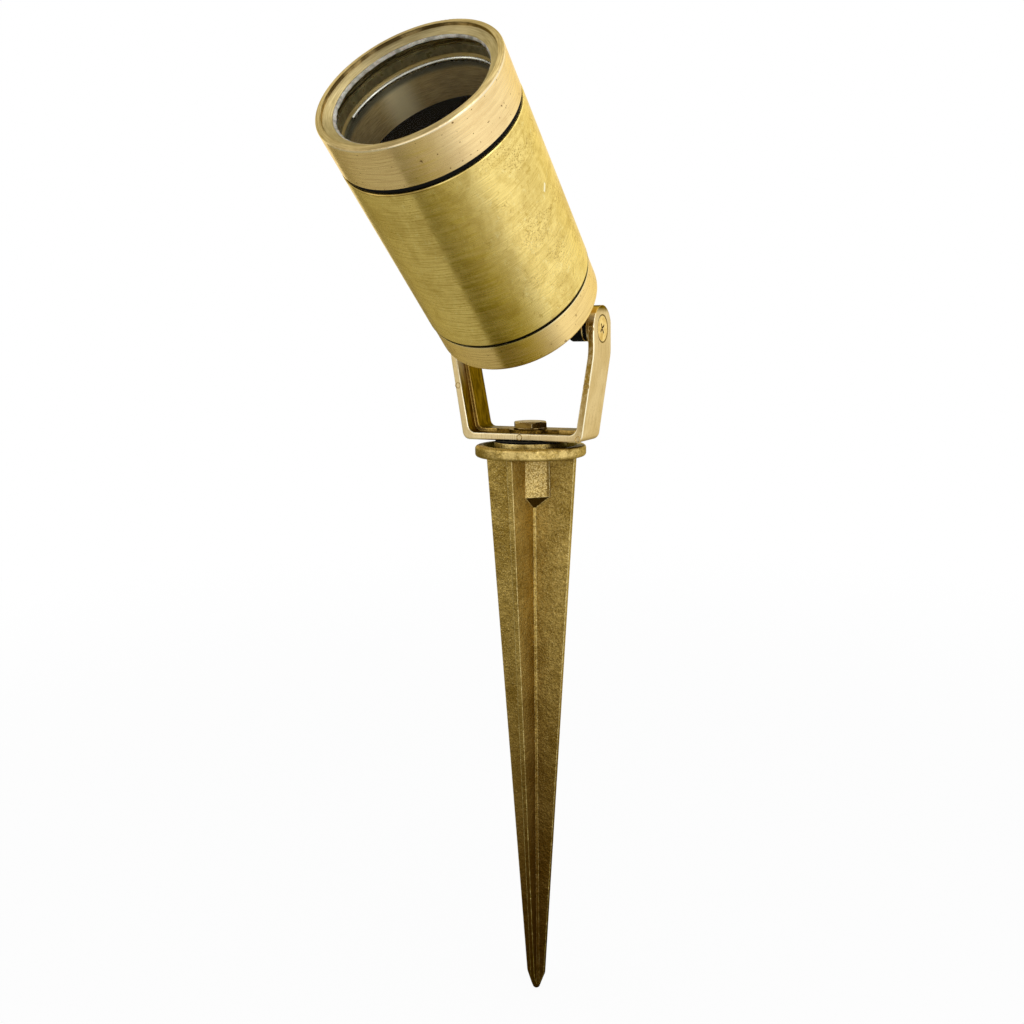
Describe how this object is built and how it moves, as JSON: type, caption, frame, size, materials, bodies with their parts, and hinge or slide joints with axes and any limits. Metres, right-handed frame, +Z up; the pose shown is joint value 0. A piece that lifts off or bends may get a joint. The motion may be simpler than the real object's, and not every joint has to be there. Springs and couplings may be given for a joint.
{
  "type": "garden spike spotlight",
  "caption": "Brass garden spotlight: a cylindrical lamp head tilts in a U-shaped yoke that swivels on a cross-finned ground spike.",
  "frame": {"origin": "centre of the spike's collar, on its underside where it rests on the ground", "axes": "+Z up along the spike and swivel axis; X along the tilt axis of the head; the head leans towards -Y"},
  "size_m": [0.06, 0.1205, 0.3496],
  "materials": {
    "spike_brass": "rough cast, dark olive-brown",
    "bright_brass": "turned, lightly tarnished",
    "yoke_brass": "cast, matte",
    "cap_brass": "turned, brushed",
    "body_brass": "brushed, mottled patina",
    "bezel_brass": "turned, brushed",
    "black_rubber": "matte black",
    "black_plastic": "matte black",
    "spring_steel": "bright wire",
    "zinc_steel": "zinc plated",
    "ceramic": "glazed off-white ceramic",
    "silicone": "translucent white silicone",
    "lens_glass": "clear toughened glass"
  },
  "bodies": {
    "ground_spike": {"spike": "spike_brass", "swivel_bolt": "bright_brass", "bolt_washer": "bright_brass", "swivel_washer": "black_rubber"},
    "yoke": {"yoke": "yoke_brass"},
    "head": {"rear_cap": "cap_brass", "rear_seal": "black_rubber", "housing_tube": "body_brass", "lamp_ring": "spring_steel", "cable_gland": "bright_brass", "gland_gasket": "black_rubber", "gland_seal": "black_rubber", "gland_nut": "bright_brass", "lamp_holder": "ceramic", "holder_bracket": "zinc_steel", "bracket_screws": "zinc_steel", "holder_screws": "zinc_steel", "pivot_screw_left": "bright_brass", "pivot_screw_right": "bright_brass", "tilt_bush_left": "black_plastic", "tilt_bush_right": "black_plastic", "tilt_washer_left": "bright_brass", "tilt_washer_right": "bright_brass", "tilt_seal_left": "black_rubber", "tilt_seal_right": "black_rubber"},
    "front_seal": {"front_o_ring": "black_rubber"},
    "bezel": {"bezel": "bezel_brass", "lens": "lens_glass", "lens_gasket": "silicone", "silicone_bead": "silicone"}
  },
  "joints": [
    {"name": "yoke_swivel", "type": "hinge", "parent": "ground_spike", "child": "yoke", "pos_m": [0, 0, 0.0064], "axis": [0, 0, 1], "continuous": true},
    {"name": "head_tilt", "type": "hinge", "parent": "yoke", "child": "head", "pos_m": [0, 0, 0.0464], "axis": [1, 0, 0], "range_deg": [-138.5, 41.5]},
    {"name": "bezel_travel", "type": "slide", "parent": "head", "child": "front_seal", "axis": [0, -0.749, 0.6626], "range_m": [0, 0.006]},
    {"name": "bezel_turn", "type": "hinge", "parent": "front_seal", "child": "bezel", "pos_m": [0, 0, 0.0464], "axis": [0, -0.749, 0.6626], "range_deg": [0, 1440]}
  ],
  "couplings": [
    {"joint": "bezel_travel", "follows": "bezel_turn", "m_per_rad": 0.00023873}
  ]
}
